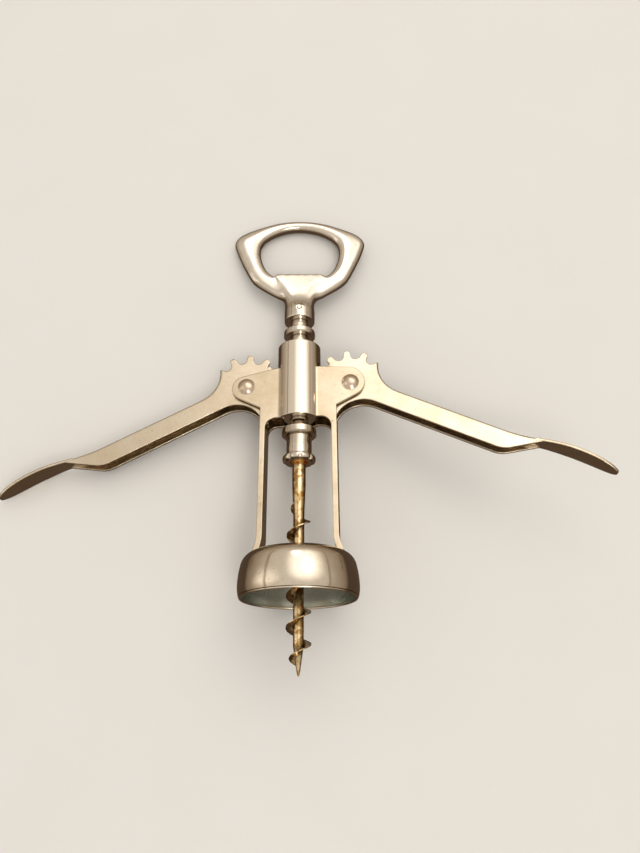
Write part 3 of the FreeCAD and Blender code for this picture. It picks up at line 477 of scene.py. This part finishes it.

# %% [markdown]
# ### Bare metals
# The worm is drawn steel whose thin plating has worn off, so it has gone golden brown in spots. Along its
# flight's root it is darkened, partly by grime and partly as painted shade. The ring of braze at its top has
# rusted. The guide bush is turned brass. The bushes and washers between the frame halves are plain steel,
# greyer and duller than anything that shows.

# %% Drawn steel, braze, brass and plain steel
drawn_steel = metal("drawn_steel", "F2E0BE", "D2B686", 0.16, rub=(0.2, 1.6, 0.2), pits=0.8, grime_and_shade="1E140C",
                    spotted="B18E5B", corner_shade=(6.0, 1.0, 0.95))
plain_steel = metal("plain_steel", "BCB6AC", "989186", 0.35)
turned_brass = metal("turned_brass", "CDAE70", "AF9050", 0.25, rub=(3.0, 0.15, 3.0))
rusty_braze = metal("rusty_braze", "C9A15F", "A57B45", 0.42, rub_depth=0.3, pits=0.9, spotted="B4541F")

# %% [markdown]
# ### Floor paint
# The floor is a matt painted board, so it has almost no gloss and one warm off-white. A single flat colour
# would do, but two tones a shade apart, in patches about 30 mm wide, keep it from looking like a screen.

# %% Floor paint
PAINT_PATCH = 1 / 30

floor_paint = bpy.data.materials.new("floor_paint")
floor_paint.use_nodes = True
paint = floor_paint.node_tree
matt = paint.nodes["Principled BSDF"]
paint_place = add(paint, "ShaderNodeTexCoord").outputs["Object"]
patches = add(paint, "ShaderNodeTexNoise", {
    "Vector": paint_place, "Scale": 1 / PAINT_PATCH, "Detail": 3.0})
paint_tone = add(paint, "ShaderNodeMix", {
    SHARE: patches.outputs["Fac"], FIRST: colour_of("E7E4E0"), SECOND: colour_of("E3E0DB")}, data_type="RGBA")
paint.links.new(paint_tone.outputs[MIXED], matt.inputs["Base Color"])
matt.inputs["Roughness"].default_value = 0.8
matt.inputs["Specular IOR Level"].default_value = 0.2
floor.data.materials.append(floor_paint)
print("floor painted")

# %% [markdown]
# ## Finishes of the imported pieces
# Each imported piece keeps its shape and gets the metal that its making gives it: pressings, turned pieces,
# rivets, and the hidden ones between the frame halves. Five of them are replaced by finer pieces further on,
# and still get a finish here, so that none is ever left bare.

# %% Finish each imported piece
FINISHES = {
    "front_frame": pressed_nickel, "back_frame": pressed_nickel, "bell": bell_nickel,
    "right_lever": satin_nickel, "left_lever": satin_nickel,
    "right_pivot_rivet": rivet_nickel, "left_pivot_rivet": rivet_nickel,
    "right_pivot_bush": plain_steel, "left_pivot_bush": plain_steel,
    "right_front_washer": plain_steel, "right_back_washer": plain_steel,
    "left_front_washer": plain_steel, "left_back_washer": plain_steel,
    "guide_bush": turned_brass, "rack_shaft": turned_nickel, "worm_ferrule": turned_nickel,
    "worm": drawn_steel, "socket_braze": rusty_braze,
    "opener_head": polished_nickel, "head_pin": polished_nickel,
}
for name, material in FINISHES.items():
    for slot in nodes[name].material_slots:
        slot.material = material
print("finished", len(FINISHES), "packed pieces")

# %% [markdown]
# ## Spinning a section
# The bell, the rivets and the ferrule are all round, so each is drawn once as a section and spun. A ready
# cylinder could be cut and rounded, but a section holds the whole form at once: one corner is extruded after
# the other, in millimetres of radius and height, then spun all round and closed where its ends meet.

# %% Arcs in a section
def bend(centre, radius, start, end, steps):
    """Points along an arc in a section, from one angle to the other, in degrees."""
    points = []
    for step in range(steps + 1):
        angle = math.radians(start + (end - start) * step / steps)
        points.append((centre[0] + radius * math.cos(angle), centre[1] + radius * math.sin(angle)))
    return points


print("a quarter turn ends at", [round(value, 3) for value in bend((0, 0), 1, 0, 90, 4)[-1]])

# %% Spin
SMOOTH_UP_TO = math.radians(40)
SAME_POINT = 0.002 * MM


def spun(name, section, along, centre, steps):
    """A section of radius and height corners, drawn corner by corner and spun about an axis."""
    corners = [(Vector((1, 0, 0)) * radius + along * height) * MM for radius, height in section]
    bpy.ops.object.select_all(action="DESELECT")
    bpy.ops.mesh.primitive_plane_add(size=MM, location=(0, 0, 0))
    piece = bpy.context.object
    piece.name = name
    bpy.ops.object.mode_set(mode="EDIT")
    bpy.ops.mesh.select_all(action="SELECT")
    bpy.ops.mesh.merge(type="CENTER")
    bpy.ops.transform.translate(value=corners[0])
    for before, after in zip(corners, corners[1:]):
        bpy.ops.mesh.extrude_vertices_move(TRANSFORM_OT_translate={"value": after - before})
    bpy.ops.mesh.select_all(action="SELECT")
    bpy.ops.mesh.spin(steps=steps, angle=math.tau, center=(0, 0, 0), axis=along)
    bpy.ops.mesh.select_all(action="SELECT")
    bpy.ops.mesh.remove_doubles(threshold=SAME_POINT)
    bpy.ops.mesh.normals_make_consistent(inside=False)
    bpy.ops.transform.translate(value=Vector(centre) * MM)
    bpy.ops.object.mode_set(mode="OBJECT")
    bpy.ops.object.shade_smooth_by_angle(angle=SMOOTH_UP_TO)
    return piece


# %% Finish and hand over a piece
def dressed(piece, body, slot, finish, *replaced):
    """A finished piece: its material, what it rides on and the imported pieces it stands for."""
    piece.data.materials.clear()
    piece.data.materials.append(finish)
    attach(piece, body)
    if replaced:
        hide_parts(*replaced)
    print(piece.name, len(piece.data.polygons), "faces")
    return piece


# %% [markdown]
# ## Bell
# The real bell is drawn from thin sheet in a press: a flat top with a hole for the cork, a round shoulder, a
# side that swells a little, and an edge rolled to a bead so that it doesn't cut the hand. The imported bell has
# all of that but the bead and the last softness of its shoulder, and those two carry its brightest lines. It
# could be bevelled, but on so large a mirror every facet would show, so its section is drawn again and spun
# in 128 steps. The faces inside then get the dull plating that a deep cup keeps.

# %% Sizes of the bell
MOUTH_RADIUS, BELL_RADIUS, BELL_WIDEST_Y, BELL_HEIGHT = 20.1, 20.75, 4.0, 15.4
BELL_WALL, BELL_SIDE_RADIUS, BELL_SHOULDER_RADIUS, CORK_HOLE_RADIUS = 0.7, 30.0, 5.2, 12.3
RIM_BEAD, BEAD_START, BEAD_END = 0.4, 60, -240
MOUTH_SHARE = 0.8
SHOULDER_STEPS, SIDE_STEPS, MOUTH_STEPS, BEAD_STEPS, HOLE_STEPS = 10, 12, 6, 14, 8
BELL_TURN_STEPS = 128
print("bell", 2 * BELL_RADIUS, "mm wide and", BELL_HEIGHT, "mm high")

# %% Bell section
def bell_section():
    """The bell's wall from the cork hole's edge over the outside, round the rolled rim and up inside."""
    lip_x = (BELL_RADIUS ** 2 - MOUTH_RADIUS ** 2 - BELL_WIDEST_Y ** 2) / (2 * (BELL_RADIUS - MOUTH_RADIUS))
    lip_radius = BELL_RADIUS - lip_x
    mouth_end = -math.degrees(math.asin(BELL_WIDEST_Y / lip_radius)) * MOUTH_SHARE
    side_x = BELL_RADIUS - BELL_SIDE_RADIUS
    rise = BELL_HEIGHT - BELL_SHOULDER_RADIUS - BELL_WIDEST_Y
    reach = math.sqrt((BELL_SIDE_RADIUS - BELL_SHOULDER_RADIUS) ** 2 - rise ** 2)
    meeting = math.degrees(math.atan2(rise, reach))
    shoulder = (side_x + reach, BELL_HEIGHT - BELL_SHOULDER_RADIUS)
    half = BELL_WALL / 2
    walls = []
    for depth in (0, BELL_WALL):
        wall = bend(shoulder, BELL_SHOULDER_RADIUS - depth, 90, meeting, SHOULDER_STEPS)
        wall += bend((side_x, BELL_WIDEST_Y), BELL_SIDE_RADIUS - depth, meeting, 0, SIDE_STEPS)[1:]
        wall += bend((lip_x, BELL_WIDEST_Y), lip_radius - depth, 0, mouth_end, MOUTH_STEPS)[1:]
        walls.append(wall)
    outer, inner = walls
    rim = bend((MOUTH_RADIUS - half, RIM_BEAD), RIM_BEAD, BEAD_START, BEAD_END, BEAD_STEPS)
    hole = bend((CORK_HOLE_RADIUS + half, BELL_HEIGHT - half), half, 270, 90, HOLE_STEPS)
    return hole + outer + rim + inner[::-1] + [hole[0]]


print("bell section", len(bell_section()), "corners")

# %% Bell shell
SHAFT_LINE = Vector((0, 1, 0))

bell = spun("bell_shell", bell_section(), SHAFT_LINE, (0, 0, 0), BELL_TURN_STEPS)
dressed(bell, "frame", "bell_plate", bell_nickel, "bell")

# %% Dull plating inside the bell
DULL_FINISH = 1

bell.data.materials.append(dull_inside)
for polygon in bell.data.polygons:
    middle = polygon.center
    outward = Vector((middle.x, 0, middle.z)).normalized()
    facing_in = polygon.normal.dot(outward) < -0.1 and middle.y > 2 * RIM_BEAD * MM
    under_top = polygon.normal.y < -0.5 and middle.y > BELL_HEIGHT / 2 * MM
    if facing_in or under_top:
        polygon.material_index = DULL_FINISH
dull = sum(polygon.material_index == DULL_FINISH for polygon in bell.data.polygons)
print("dull faces", dull, "of", len(bell.data.polygons))

# %% [markdown]
# ## Rivets
# Each lever's pivot is a rivet peened over both frame halves, so its head is a shallow dome that sits hard on
# the plate. A ball could be cut flat for it, but a dome is a small mirror and shows a ball's poles, so it is
# spun with many steps, both domes and the shank as one section. A narrow undercut below each dome gives the
# fine dark ring where a real head meets the plate.

# %% Sizes of the rivets
PIVOT = (19.8, 79.5)
RIVET_RADIUS, RIVET_HEAD_RADIUS, RIVET_HEAD_HEIGHT, UNDERCUT = 1.9, 3.25, 1.5, 0.14
DOME_STOP, DOME_STEPS, RIVET_TURN_STEPS = 5, 12, 64
plate_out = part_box("right_pivot_rivet")[1].z / MM - RIVET_HEAD_HEIGHT
print("plate's outside", round(plate_out, 2), "mm from the middle")

# %% Rivet section
def rivet_section():
    """From the front dome's middle out, down the shank and in to the back dome's middle."""
    ball = (RIVET_HEAD_RADIUS ** 2 + RIVET_HEAD_HEIGHT ** 2) / (2 * RIVET_HEAD_HEIGHT)
    edge = math.degrees(math.asin((ball - RIVET_HEAD_HEIGHT) / ball))
    front = bend((0, plate_out + RIVET_HEAD_HEIGHT - ball), ball, 90, edge + DOME_STOP, DOME_STEPS)
    front += [(RIVET_HEAD_RADIUS, plate_out + UNDERCUT), (RIVET_HEAD_RADIUS - UNDERCUT, plate_out)]
    front += [(RIVET_RADIUS, plate_out)]
    return front + [(radius, -height) for radius, height in front[::-1]]


print("rivet section", len(rivet_section()), "corners")

# %% Both rivets
for side, sign in (("right", 1), ("left", -1)):
    middle = (sign * PIVOT[0], PIVOT[1], 0)
    rivet = spun(side + "_rivet_dome", rivet_section(), UPRIGHT, middle, RIVET_TURN_STEPS)
    dressed(rivet, "frame", "rivet_steel", rivet_nickel, side + "_pivot_rivet")

# %% [markdown]
# ## Opener head
# The head is a casting that was tumbled and polished before plating, so no edge on it is left sharp, the ring
# is slightly crowned, and the neck flows into the lip. Bevels could round its edges, but they stop where
# curved faces cross, as they do all round the lip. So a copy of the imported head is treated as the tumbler
# treats the casting: it gets an even skin and is relaxed, most on the ring, less on the neck's blend, and
# hardly at all on the lip, whose flat and straight edge have to bite a cap. What relaxing takes off the ring
# is given back first by swelling it.

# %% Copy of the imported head
bpy.ops.object.select_all(action="DESELECT")
head = nodes["opener_head"].copy()
head.data = nodes["opener_head"].data.copy()
head.name = "polished_head"
for key in list(head.keys()):
    del head[key]
head.parent = None
bpy.context.scene.collection.objects.link(head)
head.select_set(True)
bpy.context.view_layer.objects.active = head
bpy.ops.object.mode_set(mode="EDIT")
bpy.ops.mesh.select_all(action="SELECT")
bpy.ops.mesh.remove_doubles(threshold=SAME_POINT)
bpy.ops.object.mode_set(mode="OBJECT")
print("head's loose triangles joined at", len(head.data.vertices), "points")

# %% Even skin
SKIN = 0.33

skin = head.modifiers.new("skin", "REMESH")
skin.mode = "VOXEL"
skin.voxel_size = SKIN * MM
skin.use_smooth_shade = True
bpy.ops.object.modifier_apply(modifier="skin")
print("even skin of", len(head.data.polygons), "faces")

# %% Ring and neck as shares
LIP_HALF_WIDTH, LIP_EDGE_Y, LIP_MARGIN = 10.4, 133.0, 1
RING_RAMP = 7
NECK_BOTTOM_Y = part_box("opener_head")[0].y / MM
FOOT_HEIGHT, FOOT_RAMP = 5.0, 1.5
LIP_BAND, LIP_RAMP = 3, 4


def ring_share(place):
    """How far a place belongs to the finger ring: 0 on the lip and neck, 1 on the ring."""
    beside = (abs(place.x) / MM - LIP_HALF_WIDTH + LIP_MARGIN) / RING_RAMP
    above_lip = (place.y / MM - LIP_EDGE_Y - LIP_MARGIN) / RING_RAMP
    return min(1.0, max(0.0, beside, above_lip))


def blend_share(place):
    """How far a place belongs to the soft blend of the neck into the lip and ring."""
    above_foot = (place.y / MM - NECK_BOTTOM_Y - FOOT_HEIGHT) / FOOT_RAMP
    below_edge = (LIP_EDGE_Y - LIP_BAND - place.y / MM) / LIP_RAMP
    return max(0.0, min(1.0, above_foot, below_edge))


for label, share in (("ring", ring_share), ("blend", blend_share)):
    group = head.vertex_groups.new(name=label)
    for vertex in head.data.vertices:
        group.add([vertex.index], share(vertex.co), "REPLACE")
    print(label, "share given to", len(head.data.vertices), "points")

# %% Swell and relax
RING_SWELL = 0.5
RELAX_ROUNDS = (("ring", 260), ("blend", 240))
SOFTEN_ROUNDS = 8

swell = head.modifiers.new("swell", "DISPLACE")
swell.strength = RING_SWELL * MM
swell.mid_level = 0.0
swell.vertex_group = "ring"
bpy.ops.object.modifier_apply(modifier="swell")
for label, rounds in RELAX_ROUNDS:
    relax = head.modifiers.new(label, "SMOOTH")
    relax.factor = 0.5
    relax.iterations = rounds
    relax.vertex_group = label
    bpy.ops.object.modifier_apply(modifier=label)
soften = head.modifiers.new("soften", "SMOOTH")
soften.factor = 0.5
soften.iterations = SOFTEN_ROUNDS
bpy.ops.object.modifier_apply(modifier="soften")
dressed(head, "shaft", "head_cast", polished_nickel, "opener_head")

# %% [markdown]
# ## Ferrule
# The ring at the mouth of the worm's socket is crimped: a tool with nine jaws pressed its lower rim in, which
# leaves soft lobes between the dents. Nine cuts could be made in a plain ring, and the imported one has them,
# but a cut leaves corners that pressed metal doesn't have. So the ring is spun and then pressed as the tool
# does: each point moves in by a wave with nine crests, full at the lower rim and nothing at the upper one.

# %% Ferrule ring
FERRULE_INSIDE, RIM_CORNER, RIM_INSET = 4.7, 0.25, 0.7
SIDE_INSET, SIDE_START, TOP_CORNER, TOP_INSET = 0.2, 0.8, 0.5, 0.35
FERRULE_TURN_STEPS = 144

low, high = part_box("worm_ferrule")
bottom, top, outer = low.y / MM, high.y / MM, high.x / MM
section = [
    (FERRULE_INSIDE, bottom + RIM_CORNER), (outer - RIM_INSET, bottom),
    (outer - SIDE_INSET, bottom + RIM_CORNER), (outer, bottom + SIDE_START),
    (outer, top - TOP_CORNER), (outer - TOP_INSET, top),
    (FERRULE_INSIDE, top), (FERRULE_INSIDE, bottom + RIM_CORNER)]
ferrule = spun("crimped_ferrule", section, SHAFT_LINE, (0, 0, 0), FERRULE_TURN_STEPS)
print("ferrule", round(2 * outer, 1), "mm wide")

# %% Nine dents
FERRULE_JAWS, DENT_DEPTH = 9, 0.9

for vertex in ferrule.data.vertices:
    radius = math.hypot(vertex.co.x, vertex.co.z) / MM
    angle = math.atan2(vertex.co.z, vertex.co.x)
    low_share = (top - TOP_CORNER - vertex.co.y / MM) / (top - bottom - TOP_CORNER)
    low_share = max(0.0, min(1.0, low_share))
    press = DENT_DEPTH * max(0.0, math.cos(angle * FERRULE_JAWS)) ** 2 * low_share
    if radius > FERRULE_INSIDE + 0.1:
        scale = (radius - press) / radius
        vertex.co.x *= scale
        vertex.co.z *= scale
dressed(ferrule, "shaft", "rack_plate", turned_nickel, "worm_ferrule")

# %% [markdown]
# A dressed part has to stay as large as its construction, or it would no longer fit where the imported one
# does.

bpy.context.view_layer.update()
